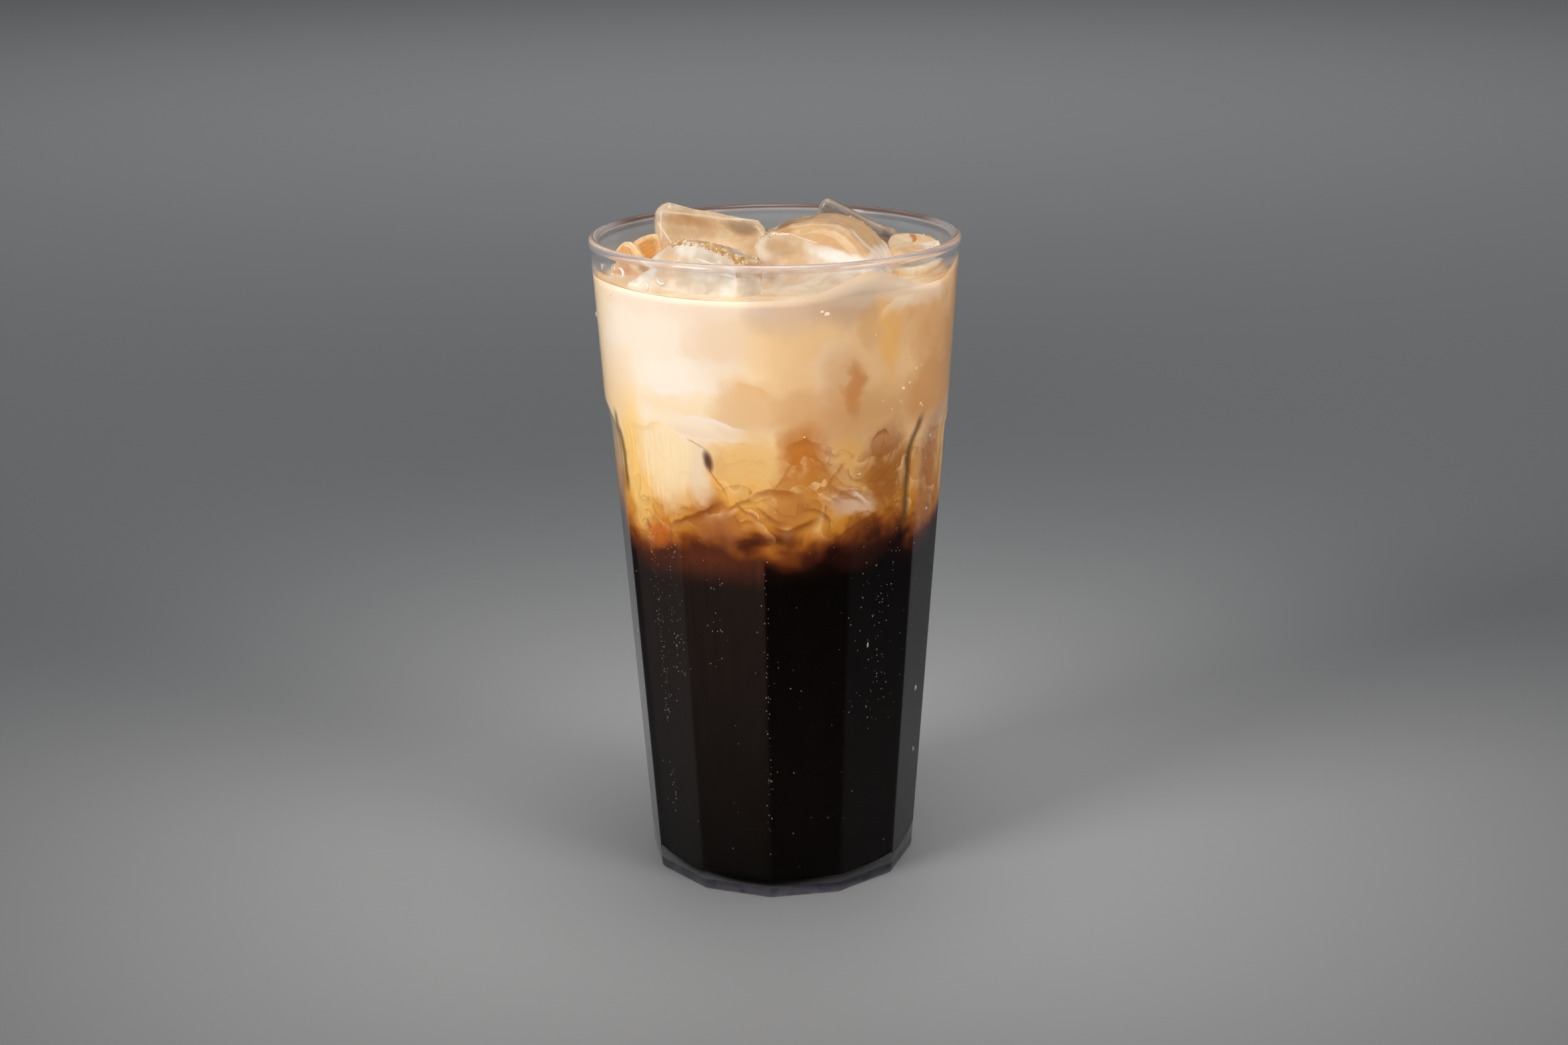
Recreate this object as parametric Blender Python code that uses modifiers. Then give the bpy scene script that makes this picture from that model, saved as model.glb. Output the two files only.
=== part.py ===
"""Iced coffee in a tall clear tumbler with twelve flat panels and half-moon ice.

Metres, +Z up. The origin is the middle of the tumbler's base, on the surface it
stands on, and -Y is the front.
"""
import math

import bmesh
import bpy
from mathutils import Euler, Vector

MM = 0.001

# Tumbler
HEIGHT = 157.7 * MM
RIM_RADIUS = 44.0 * MM
FOOT_RADIUS = 34.1 * MM
BEAD_OVERHANG = 0.3 * MM
BEAD_HEIGHT = 2.1 * MM
MOUTH_RADIUS = 41.9 * MM
FLOOR_RADIUS = 29.6 * MM
FLOOR_THICKNESS = 3.0 * MM
FLOOR_FILLET = 5.0 * MM
FOOT_ROUNDING = 0.9 * MM
ROUND_SEGMENTS = 72
RIM_STEPS = 8
FOOT_STEPS = 3
FILLET_STEPS = 4

# Flat panels below the round shoulder
PANEL_COUNT = 12
RIDGE_TOP_RADIUS = 43.94 * MM
RIDGE_FOOT_RADIUS = 32.98 * MM
PANEL_TURN = math.radians(24.6)
ARCH_SPRING = 109.0 * MM
ARCH_TOP = 121.0 * MM
ARCH_RADIUS = 29.0 * MM
ARCH_STEPS = 5
CUTTER_MARGIN = 1.15

# Drink
GAP = 0.3 * MM
DRINK_LEVEL = 149.0 * MM
COFFEE_TOP = 86.0 * MM
SWIRLS_TOP = 116.0 * MM
SURFACE_GRID = 16

# Waves of the borders between layers: height, turns for each metre along X and
# Y in radians, and where the wave starts
COFFEE_WAVES = ((2.4 * MM, 150, 70, 0.6), (1.5 * MM, -160, 95, 1.6))
SWIRL_WAVES = ((3.0 * MM, 120, -60, 1.1), (1.8 * MM, 170, 110, 1.6))

# Ice
OUTLINE_STEPS = 3
EDGE_SEGMENTS = 3
POCKET_GAP = 0.4 * MM
ICE_COLOUR = (0.86, 0.74, 0.58)


def new_material(name, colour, roughness, alpha=1.0):
    """A Principled material with the part's colour and gloss."""
    material = bpy.data.materials.new(name)
    material.use_nodes = True
    shader = material.node_tree.nodes["Principled BSDF"]
    shader.inputs["Base Color"].default_value = (*colour, 1.0)
    shader.inputs["Roughness"].default_value = roughness
    shader.inputs["Alpha"].default_value = alpha
    material.diffuse_color = (*colour, alpha)
    return material


def new_object(name, mesh, collection, material=None):
    """An object of that mesh in one collection."""
    if material is not None:
        mesh.materials.append(material)
    shape = bpy.data.objects.new(name, mesh)
    collection.objects.link(shape)
    return shape


def as_cutter(shape):
    """Leaves a shape out of the drawing and of the finished part."""
    shape.hide_render = True
    shape.display_type = "WIRE"
    return shape


def lerp(low, high, share):
    return low + (high - low) * share


def arc(centre, radius, start, end, steps):
    """Points (r, z) on an arc, with its angles in degrees."""
    points = []
    for step in range(steps + 1):
        angle = math.radians(lerp(start, end, step / steps))
        points.append((centre[0] + radius * math.cos(angle), centre[1] + radius * math.sin(angle)))
    return points


def turned(name, profile, steps, collection, material=None):
    """A profile of (r, z) points turned about the axis."""
    mesh = bpy.data.meshes.new(name)
    points = [(radius, 0.0, height) for radius, height in profile]
    edges = [(index, index + 1) for index in range(len(points) - 1)]
    mesh.from_pydata(points, edges, [])
    shape = new_object(name, mesh, collection, material)
    screw = shape.modifiers.new("Turn", "SCREW")
    screw.steps = steps
    screw.render_steps = steps
    screw.use_merge_vertices = True
    screw.merge_threshold = 0.00001
    return shape


def wall_radius(height):
    """Radius of the tumbler's round outer wall at a height."""
    return lerp(FOOT_RADIUS, RIM_RADIUS, height / HEIGHT)


def ridge_radius(height):
    """Radius at the ridges between the panels at a height."""
    return lerp(RIDGE_FOOT_RADIUS, RIDGE_TOP_RADIUS, height / HEIGHT)


def inner_radius(height):
    """Radius of the tumbler's inside at a height."""
    return lerp(FLOOR_RADIUS, MOUTH_RADIUS, height / HEIGHT)


def inside_profile(gap):
    """The inside from the axis out and up to the mouth, drawn in by a gap."""
    floor = FLOOR_THICKNESS + gap
    centre = (inner_radius(floor + FLOOR_FILLET) - gap - FLOOR_FILLET, floor + FLOOR_FILLET)
    return [(0.0, floor)] + arc(centre, FLOOR_FILLET, -90, 0, FILLET_STEPS)


def tumbler_profile():
    """Inside from the floor's middle up, then rim, outer wall and foot."""
    bead_radius = RIM_RADIUS + BEAD_OVERHANG
    lip = (bead_radius - MOUTH_RADIUS) / 2
    rim = arc((MOUTH_RADIUS + lip, HEIGHT - lip), lip, 180, 0, RIM_STEPS)
    bead_foot = HEIGHT - BEAD_HEIGHT
    wall = [
        (bead_radius, bead_foot + BEAD_OVERHANG),
        (wall_radius(bead_foot), bead_foot - BEAD_OVERHANG),
    ]
    foot_centre = (wall_radius(FOOT_ROUNDING) - FOOT_ROUNDING, FOOT_ROUNDING)
    foot = arc(foot_centre, FOOT_ROUNDING, 0, -90, FOOT_STEPS)
    return inside_profile(0.0) + rim + wall + foot + [(0.0, 0.0)]


def panel_profile():
    """Ridge line of the twelve-sided body, which flares out at the arches."""
    outside = RIM_RADIUS * CUTTER_MARGIN
    top = HEIGHT * CUTTER_MARGIN
    flare = []
    for step in range(ARCH_STEPS + 1):
        height = lerp(ARCH_TOP, ARCH_SPRING, step / ARCH_STEPS)
        climb = height - ARCH_SPRING
        bulge = ARCH_RADIUS - math.sqrt(ARCH_RADIUS**2 - climb**2)
        flare.append((ridge_radius(height) + bulge, height))
    foot_centre = (ridge_radius(FOOT_ROUNDING) - FOOT_ROUNDING, FOOT_ROUNDING)
    foot = arc(foot_centre, FOOT_ROUNDING, 0, -90, FOOT_STEPS)
    return [(0.0, top), (outside, top), (outside, ARCH_TOP)] + flare + foot + [(0.0, 0.0)]


def build_tumbler(parts, cutters):
    """The clear tumbler: a hollow round body cut to twelve flat panels."""
    material = new_material("clear_tumbler", (0.86, 0.87, 0.88), 0.05, alpha=0.3)
    tumbler = turned("tumbler", tumbler_profile(), ROUND_SEGMENTS, parts, material)
    panels = as_cutter(turned("panel_cutter", panel_profile(), PANEL_COUNT, cutters))
    panels.rotation_euler.z = PANEL_TURN
    cut = tumbler.modifiers.new("Panels", "BOOLEAN")
    cut.operation = "INTERSECT"
    cut.object = panels


def wave(x, y, terms):
    """Sum of waves over a layer's border."""
    return sum(rise * math.sin(along * x + across * y + start) for rise, along, across, start in terms)


def coffee_surface(x, y):
    """Height of the wavy border between the coffee and the swirls."""
    return COFFEE_TOP + wave(x, y, COFFEE_WAVES)


def swirl_surface(x, y):
    """Height of the wavy border between the swirls and the milk."""
    return SWIRLS_TOP + wave(x, y, SWIRL_WAVES)


def slab_between(name, lower, upper, collection):
    """A block that reaches past the drink, with wavy faces below and above."""
    half = RIM_RADIUS * CUTTER_MARGIN
    mesh = bpy.data.meshes.new(name)
    work = bmesh.new()
    bmesh.ops.create_grid(work, x_segments=SURFACE_GRID, y_segments=SURFACE_GRID, size=half)
    bmesh.ops.triangulate(work, faces=work.faces[:], quad_method="FIXED")
    top = work.faces[:]
    for vertex in work.verts:
        vertex.co.z = upper(vertex.co.x, vertex.co.y)
    grown = bmesh.ops.extrude_face_region(work, geom=top)
    for element in grown["geom"]:
        if isinstance(element, bmesh.types.BMVert):
            element.co.z = lower(element.co.x, element.co.y)
    bmesh.ops.recalc_face_normals(work, faces=work.faces[:])
    work.to_mesh(mesh)
    work.free()
    return as_cutter(new_object(name, mesh, collection))


def build_layer(name, lower, upper, material, parts, cutters):
    """One layer of the drink: the inside of the tumbler between two surfaces."""
    mouth = (inner_radius(HEIGHT) - GAP, HEIGHT)
    fill = [(0.0, HEIGHT), mouth] + inside_profile(GAP)[::-1]
    layer = turned(name, fill, ROUND_SEGMENTS, parts, material)
    cut = layer.modifiers.new("Layer", "BOOLEAN")
    cut.operation = "INTERSECT"
    cut.object = slab_between(name + "_slab", lower, upper, cutters)
    return layer


def build_drink(parts, cutters):
    """Coffee below, swirls in the middle and milk on top."""
    coffee = new_material("dark_coffee", (0.012, 0.006, 0.004), 0.08)
    swirls = new_material("amber_swirls", (0.50, 0.22, 0.06), 0.12)
    milk = new_material("milky_coffee", (0.80, 0.60, 0.40), 0.2)

    def floor(x, y):
        return 0.0

    def above_coffee(x, y):
        return coffee_surface(x, y) + GAP

    def above_swirls(x, y):
        return swirl_surface(x, y) + GAP

    def level(x, y):
        return DRINK_LEVEL

    build_layer("coffee_layer", floor, coffee_surface, coffee, parts, cutters)
    build_layer("swirl_layer", above_coffee, swirl_surface, swirls, parts, cutters)
    return build_layer("milk_layer", above_swirls, level, milk, parts, cutters)


def smooth_outline(points):
    """A closed Catmull-Rom curve through a few points of an outline."""
    curve = []
    count = len(points)
    for index in range(count):
        before, start, end, after = [Vector(points[(index + k) % count]) for k in (-1, 0, 1, 2)]
        for step in range(OUTLINE_STEPS):
            t = step / OUTLINE_STEPS
            bend = 2 * before - 5 * start + 4 * end - after
            turn = 3 * start - before - 3 * end + after
            curve.append(0.5 * (2 * start + (end - before) * t + bend * t**2 + turn * t**3))
    return curve


def ice_mesh(name, outline, thickness, slope):
    """A slab of ice: its outline faces -Y, and its front face may slope forward.

    The slope says how far the front comes forward for each unit further down
    from the highest point of the outline.
    """
    curve = [point * MM for point in smooth_outline(outline)]
    peak = max(point.y for point in curve)
    mesh = bpy.data.meshes.new(name)
    work = bmesh.new()
    half = thickness * MM / 2
    front = [work.verts.new((point.x, -half - slope * (peak - point.y), point.y)) for point in curve]
    back = [work.verts.new((point.x, half, point.y)) for point in curve]
    work.faces.new(front)
    work.faces.new(back[::-1])
    for index in range(len(curve)):
        after = (index + 1) % len(curve)
        work.faces.new((front[after], front[index], back[index], back[after]))
    bmesh.ops.recalc_face_normals(work, faces=work.faces[:])
    work.to_mesh(mesh)
    work.free()
    mesh.shade_smooth()
    return mesh


def melt(piece, rounding, bend):
    """Rounds the slab's edges and bends it to a crescent, as melting leaves it."""
    edges = piece.modifiers.new("Edges", "BEVEL")
    edges.width = rounding * MM
    edges.segments = EDGE_SEGMENTS
    edges.harden_normals = True
    edges.limit_method = "ANGLE"
    edges.angle_limit = math.radians(50)
    crescent = piece.modifiers.new("Crescent", "SIMPLE_DEFORM")
    crescent.deform_method = "BEND"
    crescent.deform_axis = "Z"
    crescent.angle = math.radians(bend)


# Each piece of ice, in millimetres and degrees: where the outline's zero is, the
# piece's lean and turn about X and Z, its thickness, the forward slope of its
# front, the rounding of its edges, its bend, and the outline across and up.
ICE = {
    "ice_back_left": {
        "place": (-15.0, 16.5, 149.0),
        "lean": -12,
        "turn": 12,
        "thickness": 9.0,
        "slope": 0.0,
        "rounding": 2.6,
        "bend": 10,
        "outline": [(-13.0, -8), (-13.8, 5), (-12.8, 13.2), (-4.3, 11.8), (6.6, 9.2), (12.6, 6.6), (13.2, -8)],
    },
    "ice_front_left": {
        "place": (-15.2, -22.5, 149.0),
        "lean": -12,
        "turn": -35,
        "thickness": 8.4,
        "slope": 0.12,
        "rounding": 2.0,
        "bend": -8,
        "outline": [(-17.6, -6), (-16.0, 3.2), (-9.4, 9.5), (-2.5, 10.3), (7.0, 8.6), (12.0, 6.4), (11.0, -6)],
    },
    "ice_centre": {
        "place": (10.6, -10.0, 149.0),
        "lean": 0,
        "turn": -14,
        "thickness": 17.0,
        "slope": 0.8,
        "rounding": 3.0,
        "bend": 0,
        "outline": [(-6.4, -4), (-11.8, 4.8), (-12.4, 10.2), (-1.0, 13.8), (9.0, 11.9), (16.0, 4.0), (12.5, -4)],
    },
    "ice_back_right": {
        "place": (20.5, 23.0, 149.0),
        "lean": -6,
        "turn": -12,
        "thickness": 3.6,
        "slope": 0.0,
        "rounding": 1.2,
        "bend": 6,
        "outline": [(-9.0, -9), (-10.4, 6.6), (-8.8, 12.2), (-5.2, 11.7), (4.2, 7.0), (10.6, 3.4), (10.0, -9)],
    },
    "ice_right": {
        "place": (32.6, 2.0, 151.4),
        "lean": -84,
        "turn": -6,
        "thickness": 6.4,
        "slope": 0.0,
        "rounding": 1.6,
        "bend": 0,
        "outline": [(-2.4, -13), (-5.6, 1), (-5.0, 8.5), (2.0, 8.0), (7.0, 3.0), (6.6, -6), (2.6, -14)],
    },
    "ice_shard_front": {
        "place": (-34.4, -4.4, 149.0),
        "lean": -16,
        "turn": -22,
        "thickness": 3.0,
        "slope": 0.0,
        "rounding": 1.1,
        "bend": 40,
        "outline": [(-4.0, -2.6), (-4.8, 4.0), (-1.6, 7.6), (2.4, 5.4), (4.6, -2.6)],
    },
    "ice_shard_back": {
        "place": (-30.4, 5.6, 149.0),
        "lean": -14,
        "turn": -6,
        "thickness": 3.4,
        "slope": 0.0,
        "rounding": 1.2,
        "bend": 40,
        "outline": [(-4.0, -2.6), (-4.6, 4.4), (-0.2, 7.4), (2.8, 6.6), (2.8, -2.6)],
    },
}


def place_ice(piece, shape):
    """Rounds a piece and puts it where it lies in the glass."""
    melt(piece, shape["rounding"], shape["bend"])
    piece.location = Vector(shape["place"]) * MM
    piece.rotation_euler = Euler((math.radians(shape["lean"]), 0.0, math.radians(shape["turn"])), "XYZ")


def build_ice(milk, parts, cutters):
    """Every piece of ice, and its pocket in the milk, wider by the gap."""
    for name, shape in ICE.items():
        material = new_material(name, ICE_COLOUR, 0.15)
        mesh = ice_mesh(name, shape["outline"], shape["thickness"], shape["slope"])
        pocket = as_cutter(new_object(name + "_pocket", mesh.copy(), cutters))
        place_ice(pocket, shape)
        grow = pocket.modifiers.new("Grow", "DISPLACE")
        grow.mid_level = 0.0
        grow.strength = POCKET_GAP
        place_ice(new_object(name, mesh, parts, material), shape)
        cut = milk.modifiers.new("Cut " + name, "BOOLEAN")
        cut.operation = "DIFFERENCE"
        cut.object = pocket


def main():
    for shape in list(bpy.data.objects):
        bpy.data.objects.remove(shape, do_unlink=True)
    parts = bpy.data.collections.new("iced_coffee")
    cutters = bpy.data.collections.new("cutters")
    for collection in (parts, cutters):
        bpy.context.scene.collection.children.link(collection)
    build_tumbler(parts, cutters)
    milk = build_drink(parts, cutters)
    build_ice(milk, parts, cutters)


main()
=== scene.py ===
import math
import random

import bmesh
import bpy
import numpy as np
from mathutils import Matrix, Vector, noise


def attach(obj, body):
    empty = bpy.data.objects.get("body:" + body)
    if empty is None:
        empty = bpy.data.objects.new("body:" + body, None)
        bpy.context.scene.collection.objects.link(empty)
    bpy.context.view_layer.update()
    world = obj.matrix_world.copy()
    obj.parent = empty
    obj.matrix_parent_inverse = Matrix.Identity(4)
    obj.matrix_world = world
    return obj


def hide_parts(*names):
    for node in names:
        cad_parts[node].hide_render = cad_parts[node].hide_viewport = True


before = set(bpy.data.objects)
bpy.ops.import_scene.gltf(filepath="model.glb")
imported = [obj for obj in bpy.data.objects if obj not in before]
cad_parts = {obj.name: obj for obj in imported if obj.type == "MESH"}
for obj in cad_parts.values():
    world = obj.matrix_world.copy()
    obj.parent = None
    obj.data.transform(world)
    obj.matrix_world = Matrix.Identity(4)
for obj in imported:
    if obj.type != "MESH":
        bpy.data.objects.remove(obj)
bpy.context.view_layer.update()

MM = 0.001

# Tumbler, as in the solids
HEIGHT = 157.7 * MM
RIM_RADIUS = 44.0 * MM
FOOT_RADIUS = 34.1 * MM
BEAD_OVERHANG = 0.3 * MM
BEAD_HEIGHT = 2.1 * MM
MOUTH_RADIUS = 41.9 * MM
FLOOR_RADIUS = 29.6 * MM
FLOOR_THICKNESS = 3.0 * MM
FLOOR_FILLET = 5.0 * MM
FOOT_ROUNDING = 0.9 * MM
PANEL_COUNT = 12
PANEL_ANGLE = 2 * math.pi / PANEL_COUNT
RIDGE_TOP_RADIUS = 43.94 * MM
RIDGE_FOOT_RADIUS = 32.98 * MM
RIDGE_TURN = math.radians(-5.4)
ARCH_SPRING = 109.0 * MM
ARCH_TOP = 121.0 * MM
ARCH_RADIUS = 29.0 * MM
RIDGE_SOFTNESS = 0.08 * MM
SHOULDER_SOFTNESS = 0.07 * MM
PANEL_FOOT = 3.0 * MM
COLUMNS_PER_PANEL = 22

# The tumbler's materials: name, tint, roughness, how clear, how strongly it bends light, and the
# painted shade on its crest at the back, a dark band standing in for what refraction shows there,
# as a screen shows it. Below them, the faces that the last three have, and the tint of the gloss
# where there is no painted shade.
CLEAR_LOOKS = [
    ("clear_wall", (0.97, 0.97, 0.975), 0.02, 1.0, 1.3, None),
    ("clear_lip", (0.85, 0.76, 0.77), 0.12, 0.76, 1.46, (92, 62, 44)),
    ("clear_base", (0.12, 0.09, 0.18), 0.05, 0.96, 1.22, None),
    ("clear_upper", (0.86, 0.89, 0.91), 0.05, 0.93, 1.42, None),
]
LIP, BASE, UPPER_WALL = 1, 2, 3
WALL_GLOSS = (0.5, 0.46, 0.44)

# Ice
ICE_VOXEL = 0.42
SWELL_SIZE, SWELL_DEPTH = 8, 0.4
DENT_SIZE, DENT_DEPTH = 2.6, 0.1
ICE_BENDING = 1.31

# Drink
DRINK_LEVEL = 149.0 * MM
INTO_WALL = 0.25 * MM
MENISCUS_FOOT = 3.0 * MM
MENISCUS_RISE = 0.35 * MM
MENISCUS_RIPPLE = 0.12 * MM
MENISCUS_LIP = 0.4 * MM
MENISCUS_WIDTH = 0.9 * MM
MENISCUS_RINGS = (0.45, 0.7, 1.0, 1.5, 2.2, 3.2, 4.6, 6.5, 9.0)
DRINK_COLUMNS = 240
DRINK_BENDING = 1.34
WATER_BENDING = 1.33

# Films of milk on the wall above the drink: angle and spread in degrees, and height in mm
FILMS = [(31, 15, 5.8), (84, 13, 4.2), (-128, 20, 2.5), (150, 16, 3.0)]

# Dew on the outside: angle and spread in degrees, lowest and highest in mm, and how many drops
DICE = random.Random(7)
DROP_SIDES = 8
DROP_RINGS = (0, 32, 62)
DROP_SINK = 0.04 * MM
DEW_DEPTH = 0.6
DEW_SCATTERED = 260
DEW_STRINGS = [
    (-52, 1.3, 42, 92, 110),
    (-52, 0.9, 18, 32, 16),
    (-42, 2.4, 56, 92, 60),
    (-24, 2.0, 60, 88, 20),
    (-4.8, 0.6, 18, 88, 50),
    (40, 7.0, 42, 88, 80),
    (46, 1.2, 80, 108, 16),
    (60, 3.0, 60, 96, 20),
]

# Larger drops: angle, height, half width, half height and depth, in degrees and mm
WALL_DROPS = [
    (66, 111.5, 0.7, 0.7, 0.4),
    (63, 106.5, 0.7, 0.3, 0.3),
    (68.5, 93, 0.9, 0.35, 0.3),
    (72, 46, 0.7, 0.8, 0.4),
    (75, 29, 0.6, 0.7, 0.4),
    (28, 107.5, 0.5, 0.25, 0.2),
    (-72, 62, 0.4, 0.5, 0.3),
    (35, 64, 0.25, 0.7, 0.2),
    (-86, 139, 0.5, 0.7, 0.35),
    (120, 70, 0.6, 0.8, 0.4),
    (165, 52, 0.5, 0.7, 0.35),
    (-130, 84, 0.6, 0.7, 0.4),
]

# Bubbles against the wall in the milk: angle, height and size, in degrees and mm
BUBBLE_DEPTH = 0.3 * MM
MILK_BUBBLES = [
    (46, 126, 0.7), (48, 133, 0.5), (52, 130, 0.9), (55, 130.4, 0.6), (49, 127, 0.6),
    (45, 123, 0.4), (56, 121, 0.7), (57, 120.4, 0.5), (37, 124, 0.35), (41, 121.6, 0.35),
    (33, 140, 0.35), (16, 146, 1.0), (14.5, 146.6, 0.7), (-64, 146.8, 0.5), (-18, 130, 0.25),
    (9, 117.6, 0.35), (110, 138, 0.6), (128, 142, 0.5), (-140, 134, 0.6), (172, 140, 0.7),
]

# Wet beads inside the wall above the milk, white so that they stand as painted glints: angle, height,
# radius of the bend in mm, and turn in degrees
BEAD_STEPS, BEAD_SIDES = 8, 6
BEAD_ARC = 200
BEAD_THICKNESS = 0.24
WET_GLINT_BEADS = [
    (-68.5, 153.0, 0.8, 60),
    (-56.5, 152.9, 1.3, -60),
    (-44.3, 150.8, 1.0, -80),
    (-37.1, 153.2, 1.2, 150),
    (-62, 151.4, 0.6, 20),
    (-49, 152.2, 0.7, 190),
    (-59, 154.0, 0.5, 100),
    (140, 152.5, 0.9, 40),
]

# Frost crumbs: node, lowest x, y and z with the z limit's slope, highest x and y with the least
# sharpness of an edge, how many, and their radius, all in mm
GRAIN_AREAS = [
    ("ice_front_left", (-24, -40, 157.6, -0.24), (-1, 0, 0.25), 1100, 0.2),
    ("ice_centre", (17, -30, 158.2, -0.35), (27, 10, 0.3), 70, 0.2),
    ("ice_centre", (-4, -30, 158.6, 0.0), (3, -3, 0.1), 60, 0.2),
    ("ice_right", (34, -6, 152.0, 0.0), (40, 12, 0.0), 70, 0.22),
    ("ice_back_left", (-28, 5, 158.2, -0.15), (-6, 30, 0.4), 40, 0.16),
]

# Camera, worked out from the photograph's rim, sides and base
IMAGE_WIDTH = 2353
FOCAL_PIXELS = 3609.75
SENSOR_WIDTH = 36.0
CAMERA_DISTANCE = 567.4 * MM
CAMERA_HEIGHT = 255.3 * MM
CAMERA_PITCH = math.radians(16.645)
CAMERA_ROLL = math.radians(-0.69)
CAMERA_YAW = math.radians(0.14)

# Stage, in metres. Lamps: name, place, what it faces, size, power, colour, and spread in degrees
FLOOR_CORNERS = [(-4, -3, 0), (4, -3, 0), (4, 6, 0), (-4, 6, 0)]
FLOOR_COLOUR = (0.50, 0.50, 0.50)
ROOM_COLOUR = (0.9, 0.94, 1.0)
ROOM_LIGHT = 0.12
UPPER_DRINK = (0, 0, 0.125)
LAMPS = [
    ("key", (-0.41, -0.31, 0.34), UPPER_DRINK, 0.22, 0.152, (1.0, 0.985, 0.965), 46),
    ("fill", (0.42, -0.30, 0.30), UPPER_DRINK, 0.3, 0.130, (1.0, 0.975, 0.955), 44),
    ("top", (0.02, -0.02, 0.52), UPPER_DRINK, 0.2, 0.115, (1.0, 1.0, 1.0), 70),
    ("back", (0.0, 1.55, 1.5), (0.0, 2.0, 0.0), 1.4, 7.6, (0.97, 0.99, 1.0), 165),
]


class Value:
    """A number worked out by a material's nodes, with plain arithmetic."""

    def __init__(self, tree, socket):
        self.tree = tree
        self.socket = socket

    def math(self, operation, *others):
        inputs = dict(enumerate((self, *others)))
        node = add_node(self.tree, "ShaderNodeMath", inputs, operation=operation)
        return Value(self.tree, node.outputs[0])

    def __add__(self, other):
        return self.math("ADD", other)

    __radd__ = __add__

    def __sub__(self, other):
        return self.math("SUBTRACT", other)

    def __rsub__(self, other):
        return -self + other

    def __mul__(self, other):
        return self.math("MULTIPLY", other)

    def __truediv__(self, other):
        return self.math("DIVIDE", other)

    def __neg__(self):
        return self.math("MULTIPLY", -1.0)

    def size(self):
        return self.math("ABSOLUTE")

    def least(self, other):
        return self.math("MINIMUM", other)

    def step(self, start, end):
        """0 up to start and 1 from end, with a smooth slope between."""
        falls = start > end
        inputs = {
            "Value": self,
            "From Min": min(start, end),
            "From Max": max(start, end),
            "To Min": 1.0 if falls else 0.0,
            "To Max": 0.0 if falls else 1.0,
        }
        node = add_node(self.tree, "ShaderNodeMapRange", inputs, interpolation_type="SMOOTHSTEP")
        return Value(self.tree, node.outputs["Result"])


def connect(tree, source, slot):
    """Links a value or a socket to an input, or sets a plain number or colour."""
    if isinstance(source, Value):
        tree.links.new(source.socket, slot)
    elif isinstance(source, bpy.types.NodeSocket):
        tree.links.new(source, slot)
    elif isinstance(source, tuple) and len(source) == 3 and slot.type == "RGBA":
        slot.default_value = (*source, 1.0)
    else:
        slot.default_value = source


def fill(tree, node, inputs):
    """Links or sets a node's inputs, each by its name or number."""
    for slot, source in inputs.items():
        connect(tree, source, node.inputs[slot])


def add_node(tree, kind, inputs, **settings):
    """A node of that kind, with its settings and its inputs."""
    node = tree.nodes.new(kind)
    for name, setting in settings.items():
        setattr(node, name, setting)
    fill(tree, node, inputs)
    return node


def position(tree):
    """The place on the object in metres, as a vector socket."""
    return tree.nodes.new("ShaderNodeTexCoord").outputs["Object"]


def parts_of(tree, vector):
    """The three parts of a vector or a colour."""
    node = add_node(tree, "ShaderNodeSeparateXYZ", {0: vector})
    return [Value(tree, socket) for socket in node.outputs]


def noise_field(tree, vector, size, detail=2.0, roughness=0.5, offset=0.0):
    """Noise about 0 to 1 whose features are about that size in millimetres, and its colours."""
    shift = (offset * MM, offset * 0.7 * MM, -offset * 0.4 * MM)
    inputs = {
        "Vector": add_node(tree, "ShaderNodeVectorMath", {0: vector, 1: shift}, operation="ADD").outputs[0],
        "Scale": 1 / (size * MM),
        "Detail": detail,
        "Roughness": roughness,
        "Distortion": 0.0,
    }
    node = add_node(tree, "ShaderNodeTexNoise", inputs)
    return Value(tree, node.outputs["Fac"]), node.outputs["Color"]


def warped(tree, vector, colour, amount):
    """A position pushed about by a noise's colours, by up to half that many millimetres."""
    back = {0: vector, 1: (-amount * MM / 2,) * 3}
    start = add_node(tree, "ShaderNodeVectorMath", back, operation="ADD")
    push = {0: colour, 1: (amount * MM,) * 3, 2: start.outputs[0]}
    return add_node(tree, "ShaderNodeVectorMath", push, operation="MULTIPLY_ADD").outputs[0]


def ramp(tree, factor, stops):
    """Colours along a value, from (place, colour) stops."""
    node = add_node(tree, "ShaderNodeValToRGB", {"Fac": factor})
    elements = node.color_ramp.elements
    while len(elements) < len(stops):
        elements.new(0.5)
    for element, (place, colour) in zip(elements, stops):
        element.position = place
        element.color = (*colour, 1.0)
    return node.outputs["Color"]


def blend(tree, factor, first, second, mode="MIX"):
    """Two colours mixed by a value."""
    node = add_node(tree, "ShaderNodeMix", {"Factor": factor}, data_type="RGBA", blend_type=mode)
    colours = [socket for socket in node.inputs if socket.type == "RGBA"]
    connect(tree, first, colours[0])
    connect(tree, second, colours[1])
    return [socket for socket in node.outputs if socket.type == "RGBA"][0]


def bump(tree, height, distance, strength):
    """A normal for relief of that height in millimetres, at a share of its strength."""
    inputs = {"Strength": strength, "Distance": distance * MM, "Height": height}
    return add_node(tree, "ShaderNodeBump", inputs).outputs["Normal"]


def new_material(name):
    """A material, its nodes and its shader."""
    material = bpy.data.materials.new(name)
    material.use_nodes = True
    tree = material.node_tree
    return material, tree, tree.nodes["Principled BSDF"]


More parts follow.
